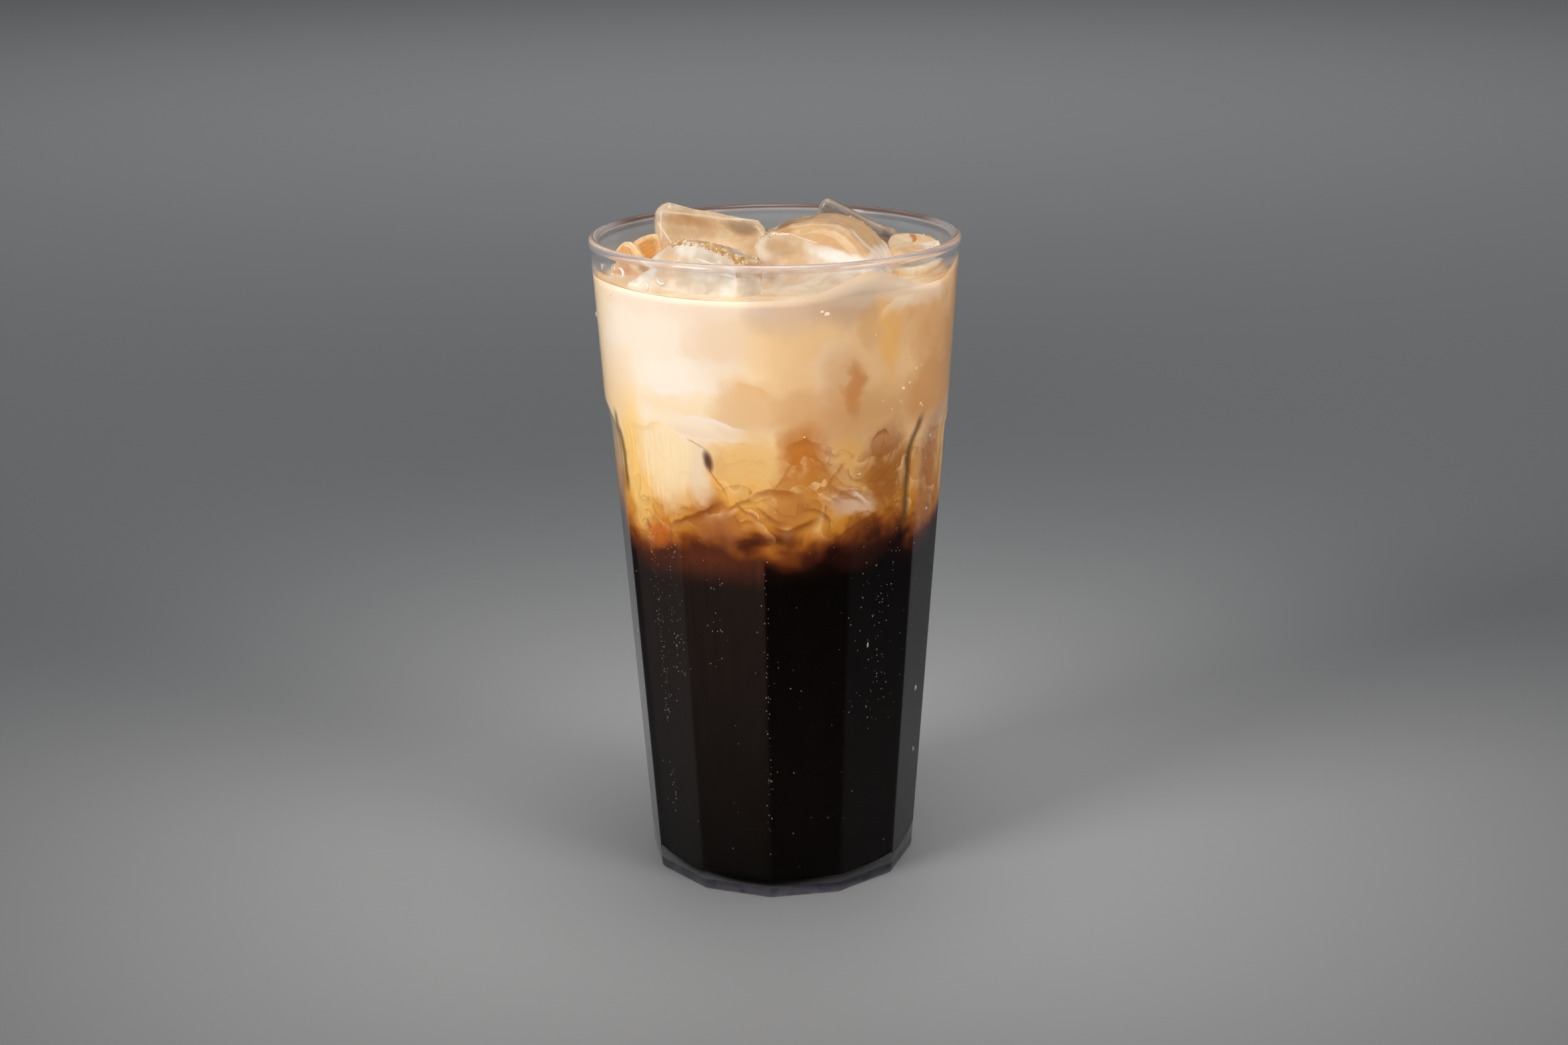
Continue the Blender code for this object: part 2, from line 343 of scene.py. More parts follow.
def let_lamps_through(tree, shader, tint):
    """Lets light from lamps pass a clear shader, so that what is behind it is lit."""
    path = add_node(tree, "ShaderNodeLightPath", {})
    clear = add_node(tree, "ShaderNodeBsdfTransparent", {"Color": tint})
    mixed = {0: path.outputs["Is Shadow Ray"], 1: shader.outputs[0], 2: clear.outputs[0]}
    mix = add_node(tree, "ShaderNodeMixShader", mixed)
    connect(tree, mix.outputs[0], tree.nodes["Material Output"].inputs["Surface"])


def new_object(name, data):
    """An object in the scene, from a mesh, a light or a camera."""
    item = bpy.data.objects.new(name, data)
    bpy.context.scene.collection.objects.link(item)
    return item


def new_mesh(name, points, faces):
    """A smooth mesh."""
    mesh = bpy.data.meshes.new(name)
    mesh.from_pydata(points, [], faces)
    mesh.shade_smooth()
    return mesh


def new_piece(name, mesh, material):
    """A piece that rides on the part's one body."""
    mesh.materials.append(material)
    piece = new_object(name, mesh)
    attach(piece, "root")
    return piece


def strips(rings, columns):
    """The faces between closed rings of points, each of that many columns."""
    faces = []
    for low in range(0, (rings - 1) * columns, columns):
        for column in range(columns):
            after = (column + 1) % columns
            faces.append((low + column, low + after, low + columns + after, low + columns + column))
    return faces


def skin(name, rows):
    """A mesh from rings of points, the first and last drawn together to one point."""
    rings, columns = rows.shape[:2]
    points = [tuple(point) for row in rows for point in row]
    faces = strips(rings, columns)
    for end, turn in ((0, -1), (rings - 1, 1)):
        middle = len(points)
        points.append(tuple(rows[end].mean(axis=0)))
        first = end * columns
        for column in range(columns):
            pair = (first + column, first + (column + 1) % columns)
            faces.append((*pair[::turn], middle))
    return new_mesh(name, points, faces)


def lerp(low, high, share):
    return low + (high - low) * share


def arc(centre, radius, start, end, steps):
    """Points (r, z) on an arc, with its angles in degrees."""
    angles = [math.radians(lerp(start, end, step / steps)) for step in range(steps + 1)]
    return [(centre[0] + radius * math.cos(a), centre[1] + radius * math.sin(a)) for a in angles]


def wall_radius(height):
    return lerp(FOOT_RADIUS, RIM_RADIUS, height / HEIGHT)


def inner_radius(height):
    return lerp(FLOOR_RADIUS, MOUTH_RADIUS, height / HEIGHT)


def soft_least(first, second, softness):
    """The smaller of two lengths, with the corner between them rounded."""
    low = np.minimum(first, second)
    return low - softness * np.log(np.exp((low - first) / softness) + np.exp((low - second) / softness))


def panel_radius(across, height):
    """Radius of the twelve flat panels at angles across each panel, with the arches' flare."""
    ridge = lerp(RIDGE_FOOT_RADIUS, RIDGE_TOP_RADIUS, height / HEIGHT)
    climb = min(max(height - ARCH_SPRING, 0.0), ARCH_RADIUS * 0.8)
    ridge += ARCH_RADIUS - math.sqrt(ARCH_RADIUS**2 - climb**2)
    middle = ridge * math.cos(PANEL_ANGLE / 2)
    here = middle / np.cos(across)
    beside = middle / np.cos(PANEL_ANGLE - np.abs(across))
    return soft_least(here, beside, RIDGE_SOFTNESS)


def panel_columns():
    """Angles from -Y towards +X, closer together at the ridges, and each one's place in its panel."""
    share = np.linspace(-1, 1, COLUMNS_PER_PANEL, endpoint=False)
    across = PANEL_ANGLE / 2 * np.sin(share * math.pi / 2)
    middles = RIDGE_TURN + PANEL_ANGLE * (np.arange(PANEL_COUNT) + 0.5)
    angles = (middles[:, None] + across[None, :]).ravel()
    return angles, np.tile(across, PANEL_COUNT)


def ring(angles, radii, height):
    """Points at those angles and radii, all at one height or each at its own."""
    radii = np.broadcast_to(radii, angles.shape)
    heights = np.broadcast_to(height, angles.shape)
    return np.stack([radii * np.sin(angles), -radii * np.cos(angles), heights], axis=1)


def make_tumbler():
    """The clear tumbler with flat panels, soft arches and a rounded rim."""
    angles, across = panel_columns()
    rows = []
    for turn in np.linspace(-90, 0, 6):
        inset = FOOT_ROUNDING * math.cos(math.radians(turn)) - FOOT_ROUNDING
        height = FOOT_ROUNDING * math.sin(math.radians(turn)) + FOOT_ROUNDING
        rows.append(ring(angles, panel_radius(across, height) + inset, height))
    heights = list(np.linspace(PANEL_FOOT, ARCH_SPRING, 30))
    heights += list(np.linspace(ARCH_SPRING, ARCH_TOP, 34)[1:])
    bead_foot = HEIGHT - BEAD_HEIGHT
    heights += list(np.linspace(ARCH_TOP, bead_foot - 1.2 * BEAD_OVERHANG, 14)[1:])
    for height in heights:
        round_wall = np.full(len(angles), wall_radius(height))
        radii = soft_least(panel_radius(across, height), round_wall, SHOULDER_SOFTNESS)
        rows.append(ring(angles, radii, height))
    bead_radius = RIM_RADIUS + BEAD_OVERHANG
    lip = (bead_radius - MOUTH_RADIUS) / 2
    rows.append(ring(angles, bead_radius, bead_foot + BEAD_OVERHANG))
    for radius, height in arc((MOUTH_RADIUS + lip, HEIGHT - lip), lip, 0, 180, 14):
        rows.append(ring(angles, radius, height))
    fillet_height = FLOOR_THICKNESS + FLOOR_FILLET
    floor_centre = (inner_radius(fillet_height) - FLOOR_FILLET, fillet_height)
    for height in np.linspace(HEIGHT - lip, fillet_height, 30)[1:-1]:
        rows.append(ring(angles, inner_radius(height), height))
    for radius, height in arc(floor_centre, FLOOR_FILLET, 0, -90, 8):
        rows.append(ring(angles, radius, height))
    mesh = skin("tumbler_clear", np.array(rows))
    wall, *others = [clear_material(*look) for look in CLEAR_LOOKS]
    tumbler = new_piece("tumbler_clear", mesh, wall)
    for material in others:
        mesh.materials.append(material)
    for face in mesh.polygons:
        if face.center.z > bead_foot:
            face.material_index = LIP
        elif face.center.z < FLOOR_THICKNESS:
            face.material_index = BASE
        elif face.center.z > DRINK_LEVEL + 1 * MM:
            face.material_index = UPPER_WALL
    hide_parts("tumbler")


def clear_material(name, tint, roughness, clarity, bending, crest_shade):
    """Clear moulded wall with a faint unevenness, and with painted shade on its crest if it is given one.
    """
    material, tree, shader = new_material(name)
    scuff, _ = noise_field(tree, position(tree), 3, detail=3)
    colour = ramp(tree, scuff, [(0.3, tint), (0.7, tuple(lerp(channel, 1.0, 0.3) for channel in tint))])
    shader.inputs["Transmission Weight"].default_value = clarity
    if crest_shade:
        _, y, z = parts_of(tree, position(tree))
        # painted shade: a dark band on the crest at the back, less clear, where refraction shows dark
        crest_shaded = y.step(4 * MM, 24 * MM) * z.step(HEIGHT - 1.3 * MM, HEIGHT - 0.7 * MM)
        colour = blend(tree, crest_shaded * 0.9, colour, srgb(*crest_shade))
        connect(tree, crest_shaded * (0.25 - clarity) + clarity, shader.inputs["Transmission Weight"])
    else:
        fill(tree, shader, {"Specular Tint": WALL_GLOSS})
    fill(tree, shader, {"Base Color": colour, "Roughness": roughness, "IOR": bending})
    let_lamps_through(tree, shader, (0.96, 0.96, 0.96))
    return material


def film_rise(angles):
    """How far the milk climbs the wall at each angle: a meniscus, and films beside the ice."""
    rise = MENISCUS_RISE + MENISCUS_RIPPLE * np.sin(5 * angles + 1.0)
    for middle, spread, height in FILMS:
        gap = (np.degrees(angles) - middle + 180) % 360 - 180
        rise = rise + height * MM * np.exp(-((gap / spread) ** 2))
    return rise


def drink_mesh():
    """The whole drink, from just inside the wall, with a level top that climbs at the wall."""
    angles = np.linspace(0, 2 * math.pi, DRINK_COLUMNS, endpoint=False)
    rows = []
    floor = FLOOR_THICKNESS - INTO_WALL
    centre = (inner_radius(floor + FLOOR_FILLET) + INTO_WALL - FLOOR_FILLET, floor + FLOOR_FILLET)
    for radius, height in arc(centre, FLOOR_FILLET, -90, 0, 8):
        rows.append(ring(angles, radius, height))
    bend = DRINK_LEVEL - MENISCUS_FOOT
    for height in np.linspace(centre[1], bend, 60)[1:]:
        rows.append(ring(angles, inner_radius(height) + INTO_WALL, height))
    rise = film_rise(angles)
    edge = DRINK_LEVEL + rise
    wall = inner_radius(edge) + INTO_WALL
    halfway = (inner_radius(DRINK_LEVEL) + INTO_WALL + wall) / 2
    rows.append(ring(angles, halfway, (bend + edge) / 2))
    rows.append(ring(angles, wall, edge))
    for inset in MENISCUS_RINGS:
        level = DRINK_LEVEL + rise * math.exp(-((inset * MM - MENISCUS_LIP) / MENISCUS_WIDTH))
        rows.append(ring(angles, wall - inset * MM, level))
    for share in np.linspace(0.76, 0.04, 24):
        rows.append(ring(angles, inner_radius(DRINK_LEVEL) * share, DRINK_LEVEL))
    return skin("drink", np.array(rows))


def srgb(red, green, blue):
    """A colour given as a screen shows it, from 0 to 255, as the shader takes it."""
    shares = [channel / 255 for channel in (red, green, blue)]
    return tuple(s / 12.92 if s < 0.04 else ((s + 0.055) / 1.055) ** 2.4 for s in shares)


BLACK = srgb(7, 4, 2)
ESPRESSO = srgb(32, 16, 10)
RED_BROWN = srgb(88, 44, 26)
BROWN = srgb(142, 78, 30)
AMBER = srgb(204, 134, 46)
GOLD = srgb(240, 184, 96)
SAND = srgb(246, 214, 166)
CREAM = srgb(250, 231, 204)
WHITE = srgb(252, 243, 230)
TAN = srgb(236, 196, 146)
DEEP_TAN = srgb(214, 162, 108)
LILAC = srgb(234, 212, 182)

# Clouds seen through the wall: angle from -Y towards +X in degrees and height in mm of the middle,
# half width and half height, rise over one half width, colour, and how strongly it covers
CLOUDS = [
    (-46, 137, 30, 14, 0, srgb(247, 232, 214), 0.9),
    (-18, 139, 11, 11, 0, srgb(236, 206, 172), 0.75),
    (-62, 128, 8, 6, 0, SAND, 0.35),
    (-30, 130, 20, 5, 0, WHITE, 0.5),
    (-30, 123.6, 26, 3, 0, srgb(248, 220, 174), 0.6),
    (-8, 128, 9, 3, -2, SAND, 0.45),
    (-8, 123, 12, 6, 0, srgb(226, 182, 130), 0.75),
    (33, 120, 26, 7, 0, srgb(202, 146, 88), 0.6),
    (-32, 147.5, 40, 3, 0, srgb(244, 222, 200), 0.7),
    (2, 146, 12, 5, 0, srgb(208, 182, 160), 0.85),
    (22, 148, 12, 5, 0, srgb(200, 170, 142), 0.85),
    (4, 140, 12, 7, 0, TAN, 0.45),
    (8, 124, 8, 4, 0, DEEP_TAN, 0.5),
    (17, 133, 6, 7, 2, LILAC, 0.45),
    (21, 128, 7, 9, 0, DEEP_TAN, 0.6),
    (24, 128, 3, 6, 0, srgb(200, 134, 72), 0.75),
    (31, 143, 4, 5, 0, DEEP_TAN, 0.5),
    (39, 139, 5, 10, 0, srgb(240, 184, 104), 0.75),
    (56, 142, 14, 7, 0, DEEP_TAN, 0.45),
    (31, 151, 17, 4, 0, srgb(220, 196, 170), 0.75),
    (52, 149, 15, 3, 0, srgb(240, 214, 186), 0.8),
    (-58, 106, 8, 14, 0, srgb(255, 212, 128), 0.95),
    (-41, 109, 13, 9, 0, srgb(252, 228, 184), 1.0),
    (-26, 109, 5, 8, 0, srgb(240, 220, 192), 0.9),
    (-9, 111, 13, 6, 0, srgb(234, 190, 120), 0.95),
    (-12, 104, 9, 3, 1, GOLD, 0.6),
    (10, 112, 8, 7, 0, srgb(196, 118, 36), 0.95),
    (12, 104, 15, 6, 0, srgb(198, 132, 56), 0.8),
    (27, 112, 7, 4, -2, srgb(226, 170, 96), 0.7),
    (28, 100.5, 9, 3, -2.2, srgb(226, 190, 160), 0.95),
    (42, 107, 11, 9, 0, srgb(154, 90, 34), 0.85),
    (68, 104, 12, 11, 0, srgb(184, 114, 44), 0.85),
    (-54, 84.5, 9, 3.5, 0, RED_BROWN, 0.8),
    (-29, 87, 11, 4, 0, srgb(104, 54, 30), 0.8),
    (-49, 91, 8, 3, 1, srgb(208, 116, 42), 0.85),
    (-22, 96, 9, 4.5, 0, srgb(184, 116, 64), 0.8),
    (2, 99, 9, 3.4, 0, srgb(192, 126, 66), 0.6),
    (30, 87.5, 12, 3, 0, srgb(58, 30, 18), 0.7),
    (106, 137, 7, 10, 0, srgb(240, 210, 170), 0.6),
    (116, 127, 7, 7, 2, DEEP_TAN, 0.6),
    (127, 140, 11, 7, 0, CREAM, 0.6),
    (150, 131, 9, 8, 0, srgb(206, 148, 88), 0.5),
    (163, 142, 9, 6, 0, WHITE, 0.5),
    (-158, 130, 11, 7, 0, TAN, 0.55),
    (-132, 138, 12, 8, 0, WHITE, 0.6),
    (-110, 127, 9, 7, 0, srgb(226, 176, 116), 0.55),
    (104, 106, 7, 7, 0, srgb(214, 146, 66), 0.8),
    (120, 109, 8, 6, 0, srgb(240, 200, 134), 0.8),
    (141, 103, 10, 7, 0, srgb(190, 118, 48), 0.8),
    (163, 110, 8, 6, 0, srgb(232, 184, 118), 0.8),
    (-160, 103, 10, 7, 0, srgb(204, 136, 62), 0.8),
    (-137, 110, 10, 6, 0, srgb(246, 210, 150), 0.8),
    (-110, 104, 9, 7, 0, srgb(196, 124, 54), 0.8),
    (112, 86, 10, 3, 0, srgb(92, 46, 26), 0.7),
    (152, 88, 12, 3, 0, srgb(84, 42, 24), 0.7),
    (-124, 87, 12, 3, 0, srgb(92, 46, 26), 0.7),
]

# Folds where one sheet of liquid lies over another: middle, half length, thickness, rise over one
# half length, droop of the ends, how far the colour fades away below the fold (above, if negative),
# colour, and how strongly it covers
FOLDS = [
    (-24, 117.4, 18, 0.5, -0.9, 0.5, -4.4, srgb(242, 220, 194), 0.95),
    (-24, 121.6, 15, 0.5, -1.6, 1.6, 3.0, srgb(246, 232, 218), 0.9),
    (-28, 115.4, 4.5, 0.3, -1.9, 0, 1.0, srgb(190, 140, 90), 0.7),
    (-31, 97.5, 14, 0.9, 4.5, 0, 3.5, srgb(140, 70, 30), 0.8),
    (-21, 107, 4, 0.7, -5.5, 0, 2.0, srgb(178, 108, 44), 0.6),
    (-1, 104.9, 11, 0.5, 0, 3.2, 3.5, srgb(172, 104, 46), 0.8),
    (9, 116.6, 7, 0.6, 0.4, 2.0, 4.0, srgb(180, 112, 44), 0.85),
    (15, 111, 4.5, 0.7, -5, 0, 3.0, srgb(184, 116, 48), 0.6),
    (24, 103, 8, 0.7, -3.4, 0, 2.0, srgb(170, 102, 40), 0.7),
    (2, 108.5, 5, 0.8, 5, 0, 3.5, srgb(186, 118, 50), 0.6),
    (38, 116.8, 4.5, 0.7, 0.3, 2.2, 1.8, srgb(160, 92, 36), 0.85),
    (41, 108.5, 4, 0.8, 4.5, 0, 2.0, srgb(176, 106, 42), 0.6),
    (38.5, 110, 1.4, 0.8, 7, 0, 3.0, srgb(172, 98, 34), 0.7),
    (39, 100.5, 5, 0.7, -2, 2.0, 2.5, srgb(168, 98, 40), 0.65),
    (47, 104, 3.5, 0.8, -6, 0, 2.5, srgb(170, 102, 42), 0.6),
    (-14, 101.5, 6, 0.6, 2.5, 1.5, 2.2, srgb(158, 92, 40), 0.6),
    (-3, 98, 6, 0.6, -2, -1.5, 2.0, srgb(150, 84, 36), 0.6),
    (14, 99.5, 7, 0.6, -1.5, 2.0, 2.4, srgb(150, 84, 34), 0.6),
    (20, 108, 5, 0.6, 4, 1.5, 2.2, srgb(176, 108, 46), 0.6),
    (-10, 99, 5, 0.7, -3, 0, 2.0, srgb(164, 96, 44), 0.6),
    (6, 95.5, 10, 0.6, 1, -1.5, 2.5, srgb(132, 72, 30), 0.7),
    (30, 95, 10, 0.6, 2.5, 0, 3.0, srgb(128, 68, 28), 0.7),
    (30, 101.5, 5, 0.5, -2.2, 0, 1.6, srgb(244, 220, 194), 0.7),
    (41, 147.5, 8, 0.8, 2.4, 1.6, 4.0, srgb(250, 228, 196), 0.6),
    (-8, 129.5, 7, 0.8, -1.5, 1.5, 4.0, srgb(232, 186, 126), 0.7),
    (34, 120, 10, 0.8, 1, 2.0, 2.5, srgb(226, 176, 112), 0.45),
    (-50, 117.3, 10, 0.6, 0.8, -1.5, 2.5, srgb(240, 196, 132), 0.5),
]

# Folds at the back, which the photograph doesn't show
BACK_DICE = random.Random(23)
BACK_FOLD_ANGLES = (*range(111, 170, 10), *range(-166, -108, 10))
BACK_FOLD_TONES = (srgb(166, 96, 38), srgb(140, 74, 30), srgb(182, 114, 48))

# Shadows beside the ridges of the tumbler: angle, lowest and highest in mm, lean in degrees, and cover
SHADOW_TONE = srgb(96, 66, 40)
SHADOW_WIDTH = 2.9
RIDGE_SHADOWS = [(51.6, 90, 119.5, 6.5, 0.85), (-67.6, 97, 119.5, -3.4, 0.85)]
BACK_RIDGES = (84.6, 114.6, 144.6, 174.6, -155.4, -125.4, -95.4)
RIDGE_SHADOWS += [(angle, 92, 119, 2.0, 0.28) for angle in BACK_RIDGES]

# The wall's faces beyond this angle to either side of -Y have the material for the back
SEAM = 84.0
TOP_FACES, BACK_FACES = 1, 2

# Noises that push the swirls about, from broad to fine: size in mm, detail and offset. Below them is
# how far each one pushes the clouds, the folds and the thin layers, in degrees or mm.
DRIFTS = [(17, 1, 11), (6, 1, 47), (2.2, 2, 5)]
CLOUD_SWEEP, CLOUD_RISE = (10, 9, 3), (5, 5, 1.6)
FOLD_SWEEP, FOLD_RISE = (0, 3.5, 1.5), (0, 2.6, 1.1)
LAYER_RISE = (26, 11, 2.5)
SLANT_UP, SLANT_ROUND = 0.8, 0.22

# Where coffee ends and swirls begin: height in mm, and angle, spread and rise where it lies off that.
# Below them, the height over which coffee turns to cream, where the milk's tones come in, and the half
# width of the milk's left-to-right ramp, which carries painted shade.
BORDER_HEIGHT = 88.3
BORDER_SWAY = 5
BORDER_SWELLS = [(-58, 18, -3.0), (-22, 24, 3.5), (38, 27, 4.0)]
SWIRL_HEIGHT = 42
MILK_FOOT, MILK_FULL = 108, 121
MILK_REACH = 36 * MM

# Colours of the liquid from coffee to cream, and of the milk from left to right: its own tones, with
# painted shade making it darker tan towards the right
STRENGTHS = [
    (0.02, BLACK),
    (0.12, ESPRESSO),
    (0.19, RED_BROWN),
    (0.26, BROWN),
    (0.36, AMBER),
    (0.54, GOLD),
    (0.80, SAND),
    (0.97, CREAM),
]
MILK_TONES_AND_SHADE = [
    (0.0, SAND),
    (0.08, CREAM),
    (0.26, CREAM),
    (0.46, SAND),
    (0.64, TAN),
    (0.9, TAN),
    (1.0, DEEP_TAN),
]

# The drink's top: its colours, where painted shade darkens it at the wall in mm from the axis, and the
# colour of that painted shade
TOP_TONES = [(0.3, srgb(228, 188, 140)), (0.5, srgb(240, 212, 172)), (0.7, srgb(250, 232, 202))]
TOP_EDGE = (39.6, 41.3)
TOP_EDGE_SHADE = srgb(176, 126, 100)

# Thin layers in the swirls: spacing in mm, sharpness, how strongly they cover, and colour. They fade in
# the calm places: middle, half width and half height as for the clouds, and by how much.
DARK_LAYERS = (7.5, 3.0, 0.65, srgb(164, 92, 36))
LIGHT_LAYERS = (8.5, 2.5, 0.7, srgb(246, 206, 150))
FINE_LAYERS = (6.0, 6.0, 0.5, srgb(152, 86, 36))
CALM_PLACES = [(-42, 110, 20, 10, 0.9), (-9, 112, 12, 6, 0.7), (-72, 104, 14, 16, 0.85)]

# One dark spot in the swirls: middle, half width and height, and rise
SPOT = ((-24.3, 111.2), (2.1, 2.6), -0.8)
SPOT_TONE = srgb(84, 54, 48)

# Painted reflection: the coffee made paler on two panels as a sheen, between these angles, and the streaks
# in it
REFLECTION_LEFT, REFLECTION_RIGHT = -67, -5
REFLECTION_HIGH, REFLECTION_LOW = srgb(104, 54, 36), srgb(42, 32, 28)
STREAK_WIDTH, STREAK_LENGTH = 1.6, 26.0


def reaching(entries, low, high):
    """The clouds or folds that come between two angles to either side of -Y, with a margin."""
    found = []
    for entry in entries:
        middle, reach = abs(entry[0]), 1.5 * entry[2] + 6
        if middle - reach < high and middle + reach > low:
            found.append(entry)
    return found


def back_folds():
    """Folds at the back, each at its own angle and otherwise at random."""
    folds = []
    for angle in BACK_FOLD_ANGLES:
        up, length = BACK_DICE.uniform(94, 107), BACK_DICE.uniform(6, 11)
        rise, droop = BACK_DICE.uniform(-2.5, 2.5), BACK_DICE.uniform(-1, 3)
        fade, tone = BACK_DICE.uniform(2.2, 4.0), BACK_DICE.choice(BACK_FOLD_TONES)
        folds.append((angle, up, length, 0.7, rise, droop, fade, tone, 0.45))
    return folds


def field(angle, height, middle, reach, rise=0.0):
    """How far a place on the wall is from a middle, as a share of the reach, squared."""
    along = (angle - middle[0]) / reach[0]
    up = (height - middle[1] - along * rise) / reach[1]
    return along * along + up * up


def fold(angle, height, middle, length, thickness, rise, droop, fade):
    """1 on a curved line on the wall, falling off at once above it and slowly below it."""
    along = (angle - middle[0]) / length
    off = height - middle[1] - along * rise + along * along * droop
    if fade < 0:
        off = -off
    sharp = off.step(thickness, 0.0)
    soft = off.step(-abs(fade), 0.0)
    return sharp * soft * soft * along.size().step(1.1, 0.35)


def upright(angle, height, middle, half_width, low, high):
    """1 on a narrow upright band between two heights and 0 off it."""
    beside = ((angle - middle) / half_width).size().step(1.0, 0.0)
    return beside * height.step(low, low + 5) * height.step(high, high - 3)


def drifts(tree, vector, size, detail, offset):
    """Three smooth noises about 0, for pushing the swirls about."""
    _, colour = noise_field(tree, vector, size, detail, offset=offset)
    return [part - 0.5 for part in parts_of(tree, colour)]


def pushed(value, noises, part, amounts):
    """A value pushed about by one part of each noise, by those amounts."""
    for noise_parts, amount in zip(noises, amounts):
        if amount:
            value = value + noise_parts[part] * amount
    return value


def layered(tree, colour, level, where, spacing, sharpness, cover, tone):
    """A colour with lines over it a spacing apart in a level, each of them sharp on one side only."""
    share = (level / spacing).math("FRACT")
    lines = share.math("POWER", sharpness) * share.step(1.0, 0.97)
    return blend(tree, lines * where * cover, colour, tone)


def streaks(tree, angle, height):
    """Fine upright streaks on the wall, as a noise about 0 to 1."""
    across, up = angle / STREAK_WIDTH, height / STREAK_LENGTH
    place = add_node(tree, "ShaderNodeCombineXYZ", {0: across, 1: up})
    return noise_field(tree, place.outputs[0], 1 / MM, detail=2, roughness=0.6)[0]


def drink_material(name, low_angle, high_angle, folds):
    """Coffee, amber swirls and milk, all one liquid at different strengths, for one side of the wall, with
    painted shade on the milk towards the right, painted shadows beside the ridges and a painted reflection
    on two coffee panels.
    """
    material, tree, shader = new_material(name)
    place = position(tree)
    x, y, z = parts_of(tree, place)
    angle = x.math("ARCTAN2", -y) * (180 / math.pi)
    height = z / MM
    noises = [drifts(tree, place, *scale) for scale in DRIFTS]
    broad, close, fine = noises
    swept = pushed(angle, noises, 0, CLOUD_SWEEP)
    risen = pushed(height, noises, 1, CLOUD_RISE)
    layers = pushed(height, noises, 2, LAYER_RISE)
    slanted = height * SLANT_UP + angle * SLANT_ROUND + broad[0] * 30 + close[1] * 12 + fine[1] * 2

    border = BORDER_HEIGHT + broad[2] * BORDER_SWAY
    for middle, spread, rise in BORDER_SWELLS:
        border = border + ((angle - middle) / spread).size().step(1, 0) * rise
    above = risen - border
    _, curl = noise_field(tree, place, 14, detail=1, offset=29)
    veil, _ = noise_field(tree, warped(tree, place, curl, 16), 9, detail=4, roughness=0.5, offset=90)
    smoke, _ = noise_field(tree, warped(tree, place, curl, 26), 7, detail=3, roughness=0.45, offset=130)
    mixing = above.step(-8, 4) * above.step(36, 22)
    strength = above / SWIRL_HEIGHT + 0.21 + (veil - 0.5) * mixing * 0.55
    # painted shade: the milk's colour turns darker tan towards the right, the side away from the key lamp
    side = x / MILK_REACH + broad[2] * 0.7 + (veil - 0.5) * 0.5
    milk = ramp(tree, side * 0.5 + 0.5, MILK_TONES_AND_SHADE)
    colour = blend(tree, risen.step(MILK_FOOT, MILK_FULL), ramp(tree, strength, STRENGTHS), milk)
    for across, up, half_width, half_height, rise, tone, cover in reaching(CLOUDS, low_angle, high_angle):
        inside = field(swept, risen, (across, up), (half_width, half_height), rise).step(2.1, 0.0)
        colour = blend(tree, inside * cover, colour, tone)
    colour = blend(tree, above.step(7, -5) * 0.6, colour, srgb(150, 96, 74), "MULTIPLY")

    front = y.step(16 * MM, -16 * MM)
    where = above.step(-3, 3) * height.step(121, 107) * (front * 0.6 + 0.4)
    for across, up, half_width, half_height, calm in CALM_PLACES:
        inside = field(angle, height, (across, up), (half_width, half_height)).step(1.6, 0.5)
        where = where * (1 - inside * calm)
    colour = layered(tree, colour, layers, where * veil.step(0.40, 0.62), *DARK_LAYERS)
    upper = where * above.step(2, 9)
    colour = layered(tree, colour, slanted, upper * smoke.step(0.42, 0.62), *LIGHT_LAYERS)
    crossed = slanted + layers * 0.6
    colour = layered(tree, colour, crossed, where * smoke.step(0.55, 0.42), *FINE_LAYERS)

    near_angle = pushed(angle, noises, 0, FOLD_SWEEP)
    near_height = pushed(height, noises, 1, FOLD_RISE)
    for across, up, *form, tone, cover in reaching(folds, low_angle, high_angle):
        on = fold(near_angle, near_height, (across, up), *form)
        colour = blend(tree, on * cover, colour, tone)
    spot = field(angle + fine[0], height + fine[1] * 0.6, *SPOT).step(1.5, 0.0)
    colour = blend(tree, spot * 0.95, colour, SPOT_TONE)

    combed = streaks(tree, angle, height)
    # painted reflection: a pale streaked sheen painted into the coffee on two panels
    reflected_on = angle.step(REFLECTION_LEFT, REFLECTION_LEFT + 2) * angle.step(REFLECTION_RIGHT, REFLECTION_RIGHT - 0.8)
    reflected_on = reflected_on * height.step(-20, 84) * above.step(2, -5)
    reflected_tone = blend(tree, height.step(79, 89), REFLECTION_LOW, REFLECTION_HIGH)
    colour = blend(tree, reflected_on * (combed * 0.9 + 0.25), colour, reflected_tone)
    comb = (combed - 0.5).size().step(0.14, 0.0) * (angle.step(-20, -60) + angle.step(48, 56))
    colour = blend(tree, comb * height.step(120, 114) * 0.13, colour, srgb(170, 110, 50), "MULTIPLY")
    for middle, low, high, lean, cover in RIDGE_SHADOWS:
        bent = angle + close[0] * 2 - height.step(107, 122) * lean
        band = upright(bent, height, middle, SHADOW_WIDTH, low, high)
        colour = blend(tree, band * cover, colour, SHADOW_TONE)
    fill(tree, shader, {"Base Color": colour, "Roughness": 0.35, "Specular IOR Level": 0.0})
    return material


def surface_material():
    """The milk's wet top, cream with tan veils, with painted shade where it meets the wall."""
    material, tree, shader = new_material("drink_top")
    place = position(tree)
    x, y, _ = parts_of(tree, place)
    _, stir = noise_field(tree, place, 20, detail=2, offset=3)
    veil, _ = noise_field(tree, warped(tree, place, stir, 16), 9, detail=3, offset=61)
    colour = ramp(tree, veil, TOP_TONES)
    out = (x * x + y * y).math("SQRT") / MM
    # painted shade: a darker ring where the top meets the wall
    colour = blend(tree, out.step(*TOP_EDGE) * 0.75, colour, TOP_EDGE_SHADE)
    fill(tree, shader, {"Base Color": colour, "Roughness": 0.12, "IOR": DRINK_BENDING})
    return material


